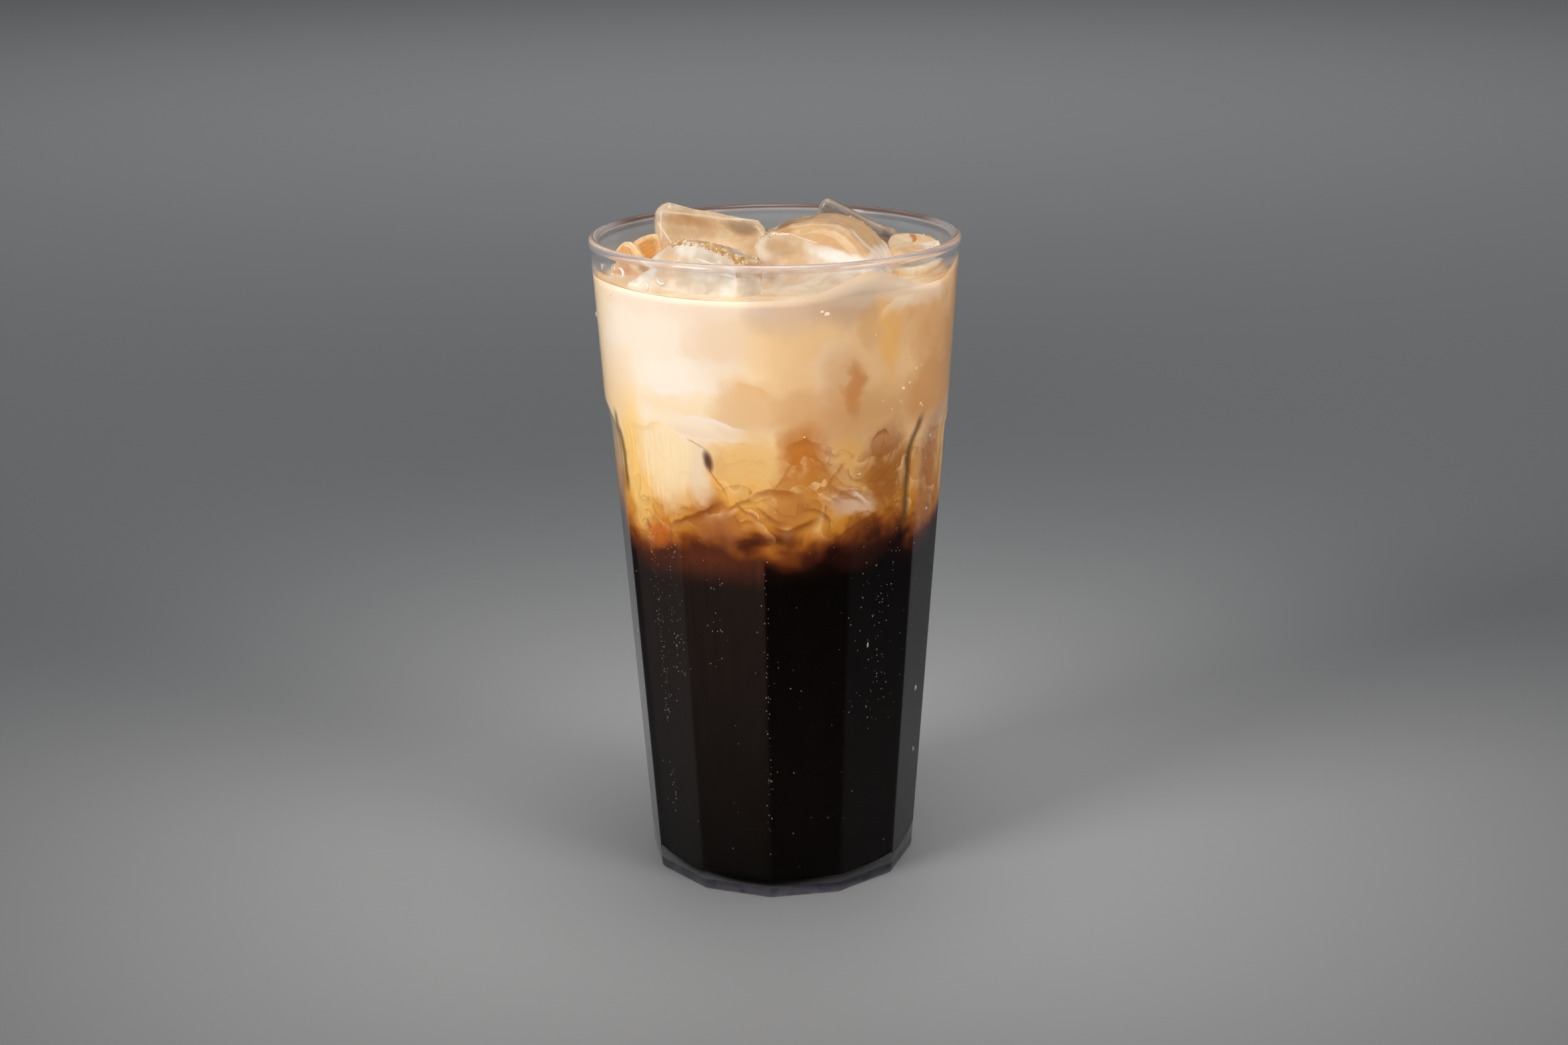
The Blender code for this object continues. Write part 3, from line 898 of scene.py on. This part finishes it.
def make_drink():
    """The drink, in one piece from coffee to milk."""
    folds = FOLDS + back_folds()
    front = drink_material("layered_drink", 0, SEAM, folds)
    drink = new_piece("layered_drink", drink_mesh(), front)
    drink.data.materials.append(surface_material())
    drink.data.materials.append(drink_material("layered_drink_back", SEAM, 180, folds))
    for face in drink.data.polygons:
        angle = math.degrees(math.atan2(face.center.x, -face.center.y))
        if face.center.z > DRINK_LEVEL - 1 * MM and face.normal.z > 0.2:
            face.material_index = TOP_FACES
        elif abs(angle) > SEAM:
            face.material_index = BACK_FACES
    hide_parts("coffee_layer", "swirl_layer", "milk_layer")


def convexity(mesh):
    """How sharply each point of a mesh bulges, in 1/mm, averaged with its neighbours."""
    count = len(mesh.vertices)
    points = np.empty(count * 3)
    mesh.vertices.foreach_get("co", points)
    points = points.reshape(-1, 3) / MM
    normals = np.empty(count * 3)
    mesh.vertex_normals.foreach_get("vector", normals)
    normals = normals.reshape(-1, 3)
    edges = np.empty(len(mesh.edges) * 2, dtype=np.int64)
    mesh.edges.foreach_get("vertices", edges)
    first, second = edges.reshape(-1, 2).T
    valence = np.bincount(edges, minlength=count)

    def neighbours(values):
        total = np.zeros_like(values)
        np.add.at(total, first, values[second])
        np.add.at(total, second, values[first])
        return (total.T / valence).T

    bulge = ((points - neighbours(points)) * normals).sum(axis=1) * 4 / ICE_VOXEL**2
    for _ in range(3):
        bulge = (bulge + neighbours(bulge)) / 2
    return bulge


def ice_mesh(name, melting):
    """A piece of ice grown from its solid: finely rounded, uneven, with its edges marked."""
    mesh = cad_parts[name].data.copy()
    mesh.name = name + "_wet"
    mesh.materials.clear()
    rough = new_object(mesh.name, mesh)
    remesh = rough.modifiers.new("Even", "REMESH")
    remesh.mode = "VOXEL"
    remesh.voxel_size = ICE_VOXEL * MM
    smooth = rough.modifiers.new("Melt", "SMOOTH")
    smooth.iterations = melting
    smooth.factor = 0.5
    shaped = bpy.data.meshes.new_from_object(rough.evaluated_get(bpy.context.evaluated_depsgraph_get()))
    bpy.data.objects.remove(rough)
    edge = np.clip(convexity(shaped) * 1.6 - 0.15, 0, 1)
    points = [vertex.co.copy() for vertex in shaped.vertices]
    normals = [normal.vector.copy() for normal in shaped.vertex_normals]
    for vertex, point, normal in zip(shaped.vertices, points, normals):
        where = point / MM
        swell = noise.noise(where / SWELL_SIZE) * SWELL_DEPTH
        swell += noise.noise(where / DENT_SIZE + Vector((5, 0, 0))) * DENT_DEPTH
        vertex.co = point + normal * swell * MM
    shaped.attributes.new("edge", "FLOAT", "POINT").data.foreach_set("value", edge.astype(np.float32))
    shaped.shade_smooth()
    return shaped


def crease(across, up, start, end, width):
    """1 on the straight line between two places, and 0 off it."""
    run, climb = end[0] - start[0], end[1] - start[1]
    length = math.hypot(run, climb)
    from_x, from_z = across - start[0], up - start[1]
    along = (from_x * run + from_z * climb) / length**2
    off = (from_x * climb - from_z * run) / length
    return off.size().step(width, width * 0.3) * (along - 0.5).size().step(0.52, 0.4)


def ice_material(name, body, cloud, rim, clarity, stains_and_highlights=(), band=None, lines_and_highlights=(), stripes=None):
    """Wet ice, clearer in places and cloudier in others, with paler edges, stains of the drink and painted
    highlights.
    """
    material, tree, shader = new_material(name)
    place = position(tree)
    x, _, z = parts_of(tree, place)
    _, stir = noise_field(tree, place, 10, detail=2, offset=31)
    push = [part - 0.5 for part in parts_of(tree, stir)]
    haze, _ = noise_field(tree, warped(tree, place, stir, 9), 7, detail=4, roughness=0.55, offset=71)
    colour = ramp(tree, haze, [(0.36, body), (0.62, cloud)])
    across = x / MM + push[0] * 4
    up = z / MM + push[1] * 3
    if band:
        start_x, start_z, rise, ceiling, blur, tone = band
        over = up - ((across - start_x) * rise + start_z).least(ceiling)
        colour = blend(tree, over.step(-blur, blur), colour, tone)
    for middle_x, middle_z, half_width, half_height, rise, tone, cover in stains_and_highlights:
        inside = field(across, up, (middle_x, middle_z), (half_width, half_height), rise).step(1.4, 0.1)
        colour = blend(tree, inside * cover, colour, tone)
    if stripes:
        lean, *look = stripes
        colour = layered(tree, colour, across + up * lean, 1.0, *look)
    for start, end, width, tone, cover in lines_and_highlights:
        line = crease(x / MM + push[0], z / MM + push[1], start, end, width)
        colour = blend(tree, line * cover, colour, tone)
    marked = add_node(tree, "ShaderNodeAttribute", {}, attribute_name="edge")
    edge = Value(tree, marked.outputs["Fac"])
    colour = blend(tree, edge * 0.8, colour, rim)
    clear = haze.step(0.68, 0.35) * (clarity[1] - clarity[0]) + clarity[0]
    relief, _ = noise_field(tree, place, 1.8, detail=3, roughness=0.6, offset=8)
    inputs = {
        "Base Color": colour,
        "Roughness": 0.07,
        "IOR": ICE_BENDING,
        "Transmission Weight": clear * (1 - edge * 0.5),
        "Normal": bump(tree, relief, 0.07, 0.5),
    }
    fill(tree, shader, inputs)
    let_lamps_through(tree, shader, tuple(0.5 + 0.45 * channel for channel in body))
    return material


# Stains and painted highlights in the ice are as the clouds in the drink, but with the middle in mm
# across and up. A band is the part above a slanted line: a place on the line, its rise and its highest
# level, how soft it is, and the colour. Lines are straight stains or painted highlights: both ends,
# half width, colour and cover. Stripes are as the thin layers in the swirls, with their lean before
# the rest.
ICE = {
    "ice_back_left": {
        "body": srgb(212, 186, 150),
        "cloud": srgb(226, 206, 176),
        "rim": srgb(240, 226, 200),
        "clarity": (0.1, 0.4),
        "stains_and_highlights": [
            (-21, 158.4, 6, 1.4, -1.0, srgb(196, 152, 104), 0.7),
            (-8.5, 156.6, 4, 1.8, -1.5, srgb(150, 130, 106), 0.8),
            (-14, 152, 8, 2.5, 0, srgb(246, 228, 200), 0.7),
            # painted light: the left facet made paler
            (-28.6, 156.2, 2.2, 5, 0, srgb(226, 206, 180), 0.9),
        ],
        "lines_and_highlights": [
            # painted highlights: pale lines along the left and top edges
            ((-28.4, 158.6), (-24.2, 152.6), 0.3, srgb(255, 246, 230), 0.9),
            ((-27.5, 161.0), (-3.5, 157.5), 0.35, srgb(255, 244, 224), 0.6),
        ],
    },
    "ice_front_left": {
        "body": srgb(220, 200, 174),
        "cloud": srgb(240, 230, 214),
        "rim": srgb(214, 170, 108),
        "clarity": (0.05, 0.35),
        "stains_and_highlights": [
            # painted highlight below the peak
            (-20.6, 157.6, 3, 2.4, 0, srgb(255, 250, 240), 0.9),
            (-8.2, 147.8, 3.5, 1.8, 0, srgb(250, 208, 146), 0.8),
            (-24.5, 153, 3, 4, 0, srgb(232, 198, 154), 0.7),
            (-13, 155, 5, 1.5, -1, srgb(206, 186, 164), 0.6),
        ],
        "lines_and_highlights": [
            ((-22.8, 158.6), (-20.3, 160.1), 0.8, srgb(206, 160, 98), 0.85),
            ((-20.6, 160.2), (-11.1, 158.0), 0.9, srgb(206, 160, 98), 0.9),
            ((-11.4, 158.1), (-0.5, 153.1), 0.7, srgb(206, 160, 98), 0.9),
            ((-18, 156), (-6, 153.6), 0.3, srgb(255, 252, 246), 0.8),
            ((-2.4, 152.5), (-3.4, 147), 0.3, srgb(255, 248, 236), 0.8),
        ],
    },
    "ice_centre": {
        "body": srgb(218, 190, 156),
        "cloud": srgb(234, 216, 190),
        "rim": srgb(248, 234, 208),
        "clarity": (0.05, 0.3),
        "band": (3.0, 160.7, -0.3, 160.5, 0.35, srgb(222, 184, 136)),
        "stains_and_highlights": [
            (1.5, 161.2, 3.2, 1.0, 0, srgb(196, 142, 84), 0.9),
            (0.5, 157.2, 4, 2.2, -0.4, srgb(196, 164, 128), 0.8),
            (14.5, 156.2, 7, 1.7, -1.5, srgb(255, 250, 240), 0.95),
            (24, 154.8, 3.6, 2.0, -0.8, srgb(255, 248, 236), 0.85),
            (12.6, 162.1, 3.6, 0.6, -0.2, srgb(214, 178, 140), 0.8),
        ],
        "lines_and_highlights": [
            # painted highlights: pale lines along the top and right edges
            ((-2.5, 160.2), (3.5, 160.5), 0.28, srgb(255, 246, 226), 0.95),
            ((3.5, 160.5), (10, 158.8), 0.22, srgb(255, 240, 214), 0.6),
            ((17.5, 161.2), (26.4, 153.0), 0.25, srgb(255, 246, 230), 0.7),
        ],
    },
    "ice_back_right": {
        "slot": "clear_ice",
        "body": srgb(150, 142, 136),
        "cloud": srgb(176, 168, 160),
        "rim": srgb(198, 186, 172),
        "clarity": (0.75, 0.95),
        "lines_and_highlights": [
            ((12.6, 162.4), (30.2, 153.5), 0.32, srgb(140, 92, 54), 0.95),
        ],
    },
    "ice_right": {
        "body": srgb(232, 204, 162),
        "cloud": srgb(244, 224, 188),
        "rim": srgb(252, 238, 206),
        "clarity": (0.05, 0.3),
        "stains_and_highlights": [
            (33.0, 155.2, 0.8, 0.6, 0, srgb(206, 124, 44), 0.9),
            (37.5, 154.4, 2.2, 0.5, 0, srgb(255, 250, 236), 0.8),
        ],
    },
    "ice_shard_front": {
        "slot": "amber_ice",
        "melting": 1,
        "body": srgb(206, 138, 68),
        "cloud": srgb(224, 170, 102),
        "rim": srgb(248, 222, 174),
        "clarity": (0.15, 0.5),
        "lines_and_highlights": [
            ((-36, 158), (-30, 152), 0.3, srgb(255, 232, 188), 0.8),
        ],
        "stripes": (0.7, 0.9, 2.0, 0.7, srgb(186, 116, 50)),
    },
    "ice_shard_back": {
        "slot": "amber_ice",
        "melting": 1,
        "body": srgb(208, 148, 80),
        "cloud": srgb(226, 180, 114),
        "rim": srgb(248, 222, 174),
        "clarity": (0.15, 0.5),
        "stripes": (-1.4, 1.6, 2.0, 0.5, srgb(194, 128, 60)),
    },
}


def make_ice(node, slot="ice", melting=2, **look):
    """One piece of ice, in place of its solid."""
    material = ice_material(node, **look)
    piece = new_piece(node + "_wet", ice_mesh(node, melting), material)
    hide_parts(node)


def outer_radius(angle, height):
    """Radius of the tumbler's outside at an angle in degrees and a height in metres."""
    across = np.array([(math.radians(angle) - RIDGE_TURN) % PANEL_ANGLE - PANEL_ANGLE / 2])
    return soft_least(panel_radius(across, height), np.array([wall_radius(height)]), SHOULDER_SOFTNESS)[0]


def dome(place, outward, width, height, depth):
    """Points and faces of a low dome that stands on a surface."""
    outward = outward.normalized()
    across = Vector((-outward.y, outward.x, 0)).normalized()
    up = outward.cross(across)
    points = []
    for turn in DROP_RINGS:
        spread, rise = math.cos(math.radians(turn)), math.sin(math.radians(turn))
        for step in range(DROP_SIDES):
            around = 2 * math.pi * step / DROP_SIDES
            flat = across * (width * math.cos(around)) + up * (height * math.sin(around))
            points.append(place + flat * spread + outward * (depth * rise - DROP_SINK))
    points.append(place + outward * depth)
    faces = strips(len(DROP_RINGS), DROP_SIDES)
    top = 2 * DROP_SIDES
    faces += [(top + step, top + (step + 1) % DROP_SIDES, len(points) - 1) for step in range(DROP_SIDES)]
    return points, faces


def joined(name, shapes):
    """One smooth mesh of many small shapes."""
    points, faces = [], []
    for shape_points, shape_faces in shapes:
        start = len(points)
        points += [tuple(point) for point in shape_points]
        faces += [tuple(start + corner for corner in face) for face in shape_faces]
    return new_mesh(name, points, faces)


def on_wall(angle, height, radius):
    """A point at an angle in degrees, a height in mm and a radius in metres, and its outward direction."""
    turn = math.radians(angle)
    outward = Vector((math.sin(turn), -math.cos(turn), 0))
    return outward * radius + Vector((0, 0, height * MM)), outward


def wall_drop(angle, height, width, tall, depth):
    """A drop on the outside of the tumbler, its sizes in mm."""
    place, outward = on_wall(angle, height, outer_radius(angle, height * MM))
    slope = (outer_radius(angle, (height + 1) * MM) - outer_radius(angle, (height - 1) * MM)) / (2 * MM)
    return dome(place, outward - Vector((0, 0, slope)), width * MM, tall * MM, depth * MM)


def toned_material(name, size, tones, roughness, detail=2.0):
    """A material for small pieces, which wanders between a few tones, with its nodes and its shader."""
    material, tree, shader = new_material(name)
    shade, _ = noise_field(tree, position(tree), size, detail)
    fill(tree, shader, {"Base Color": ramp(tree, shade, tones), "Roughness": roughness})
    return material, tree, shader


def make_dew():
    """Fine dew on the outside, in strings where it ran down and scattered between them, near white as
    painted highlights.
    """
    drops = []
    for middle, spread, low, high, count in DEW_STRINGS:
        for _ in range(count):
            size = DICE.uniform(0.06, 0.14)
            place = (DICE.gauss(middle, spread), DICE.uniform(low, high))
            drops.append(wall_drop(*place, size, size * DICE.uniform(0.9, 1.6), size * DEW_DEPTH))
    for _ in range(DEW_SCATTERED):
        size = DICE.uniform(0.06, 0.16)
        place = (DICE.uniform(-180, 180), DICE.uniform(6, 108))
        drops.append(wall_drop(*place, size, size, size * DEW_DEPTH))
    for drop in WALL_DROPS:
        drops.append(wall_drop(*drop))
    # near-white tones: painted highlights on the drops
    tones = [(0.4, srgb(206, 196, 186)), (0.6, srgb(250, 244, 238))]
    material, tree, shader = toned_material("dew", 12, tones, 0.05)
    fill(tree, shader, {"IOR": WATER_BENDING, "Transmission Weight": 0.4})
    let_lamps_through(tree, shader, (0.9, 0.9, 0.9))
    new_piece("dew", joined("dew", drops), material)


def make_bubbles():
    """Bubbles that cling inside the wall, in the milk and just above it."""
    bubbles = []
    for angle, height, size in MILK_BUBBLES:
        place, outward = on_wall(angle, height, inner_radius(height * MM) + INTO_WALL)
        bubbles.append(dome(place, outward, size * 0.75 * MM, size * 0.6 * MM, BUBBLE_DEPTH))
    tones = [(0.4, srgb(238, 206, 166)), (0.6, srgb(250, 230, 204))]
    material, _, _ = toned_material("bubbles", 6, tones, 0.15)
    new_piece("bubbles", joined("bubbles", bubbles), material)


def crescent(angle, height, size, turn):
    """A thin bent bead of liquid on the inside of the wall."""
    middle, outward = on_wall(angle, height, inner_radius(height * MM) - 0.05 * MM)
    across = Vector((-outward.y, outward.x, 0))
    up = Vector((0, 0, 1))
    points = []
    for step in range(BEAD_STEPS + 1):
        share = step / BEAD_STEPS
        bend = math.radians(turn + BEAD_ARC * share)
        away = across * math.cos(bend) + up * math.sin(bend)
        thick = BEAD_THICKNESS * size * math.sin(math.pi * (0.08 + 0.84 * share))
        for side in range(BEAD_SIDES):
            around = 2 * math.pi * side / BEAD_SIDES
            off = away * (size + thick * math.cos(around)) + outward * thick * math.sin(around)
            points.append(middle + off * MM)
    faces = strips(BEAD_STEPS + 1, BEAD_SIDES)
    faces.append(tuple(range(BEAD_SIDES)))
    faces.append(tuple(BEAD_STEPS * BEAD_SIDES + side for side in reversed(range(BEAD_SIDES))))
    return points, faces


def make_wet_glint_beads():
    """Wet beads on the inside of the wall above the milk, near white as painted glints."""
    # near-white tones: painted glints on the beads
    tones = [(0.4, srgb(236, 226, 216)), (0.6, srgb(255, 250, 244))]
    material, _, _ = toned_material("wet_glint_beads", 4, tones, 0.08)
    mesh = joined("wet_glint_beads", [crescent(*bead) for bead in WET_GLINT_BEADS])
    new_piece("wet_glint_beads", mesh, material)


def crumb_shape():
    """Points and faces of a small round crumb of radius 1."""
    shape = bmesh.new()
    bmesh.ops.create_icosphere(shape, subdivisions=1, radius=1)
    points = [vertex.co.copy() for vertex in shape.verts]
    faces = [tuple(vertex.index for vertex in face.verts) for face in shape.faces]
    shape.free()
    return points, faces


def grain(place, size, points):
    """The points of an angular crumb of ice, its size in mm."""
    uneven = [Vector([part * DICE.uniform(0.6, 1.25) for part in point]) for point in points]
    return [place + point * size * MM for point in uneven]


def make_grains():
    """Crumbs of frost along the worn edges of the ice."""
    grains = []
    points, faces = crumb_shape()
    for node, low, high, count, size in GRAIN_AREAS:
        mesh = bpy.data.objects[node + "_wet"].data
        edge = mesh.attributes["edge"].data
        chosen = []
        for vertex in mesh.vertices:
            x, y, z = vertex.co / MM
            if low[0] < x < high[0] and low[1] < y < high[1] and z > low[2] + (x - low[0]) * low[3]:
                if edge[vertex.index].value > high[2]:
                    chosen.append(vertex.co.copy())
        for _ in range(count):
            grains.append((grain(DICE.choice(chosen), size * DICE.uniform(0.5, 1.2), points), faces))
    tones = [(0.35, srgb(196, 142, 76)), (0.52, srgb(222, 178, 114)), (0.66, srgb(255, 244, 222))]
    material, tree, shader = toned_material("frost_grains", 1.3, tones, 0.12, detail=1)
    fill(tree, shader, {"IOR": ICE_BENDING})
    new_piece("frost_grains", joined("frost_grains", grains), material)


def make_stage():
    """Plain pale floor and plain soft studio light."""
    mesh = new_mesh("floor", FLOOR_CORNERS, [(0, 1, 2, 3)])
    floor = new_object("floor", mesh)
    material, tree, shader = new_material("pale_floor")
    fill(tree, shader, {"Base Color": FLOOR_COLOUR, "Roughness": 0.6})
    mesh.materials.append(material)
    world = bpy.data.worlds.new("studio")
    bpy.context.scene.world = world
    world.use_nodes = True
    tree = world.node_tree
    fill(tree, tree.nodes["Background"], {"Color": ROOM_COLOUR, "Strength": ROOM_LIGHT})
    for look in LAMPS:
        lamp(*look)


def lamp(name, place, target, size, power, colour, spread):
    """A square soft light, with a grid that narrows its beam."""
    data = bpy.data.lights.new(name, "AREA")
    data.size = size
    data.energy = power
    data.color = colour
    data.spread = math.radians(spread)
    light = new_object(name, data)
    light.location = place
    aim = Vector(target) - Vector(place)
    light.rotation_euler = aim.to_track_quat("-Z", "Y").to_euler()


def make_camera():
    """The photograph's own view."""
    ahead = Vector((
        math.sin(CAMERA_YAW) * math.cos(CAMERA_PITCH),
        math.cos(CAMERA_YAW) * math.cos(CAMERA_PITCH),
        -math.sin(CAMERA_PITCH),
    ))
    level = Vector((math.cos(CAMERA_YAW), -math.sin(CAMERA_YAW), 0))
    above = level.cross(ahead)
    right = level * math.cos(CAMERA_ROLL) + above * math.sin(CAMERA_ROLL)
    up = above * math.cos(CAMERA_ROLL) - level * math.sin(CAMERA_ROLL)
    data = bpy.data.cameras.new("camera")
    data.sensor_width = SENSOR_WIDTH
    data.lens = FOCAL_PIXELS / IMAGE_WIDTH * SENSOR_WIDTH
    camera = new_object("camera", data)
    turn = Matrix((right, up, -ahead)).transposed().to_4x4()
    camera.matrix_world = Matrix.Translation((0, -CAMERA_DISTANCE, CAMERA_HEIGHT)) @ turn
    bpy.context.scene.camera = camera


bpy.context.scene.view_settings.view_transform = "Standard"
make_camera()
make_stage()
make_tumbler()
for ice_node, ice_look in ICE.items():
    make_ice(ice_node, **ice_look)
make_drink()
make_dew()
make_bubbles()
make_wet_glint_beads()
make_grains()
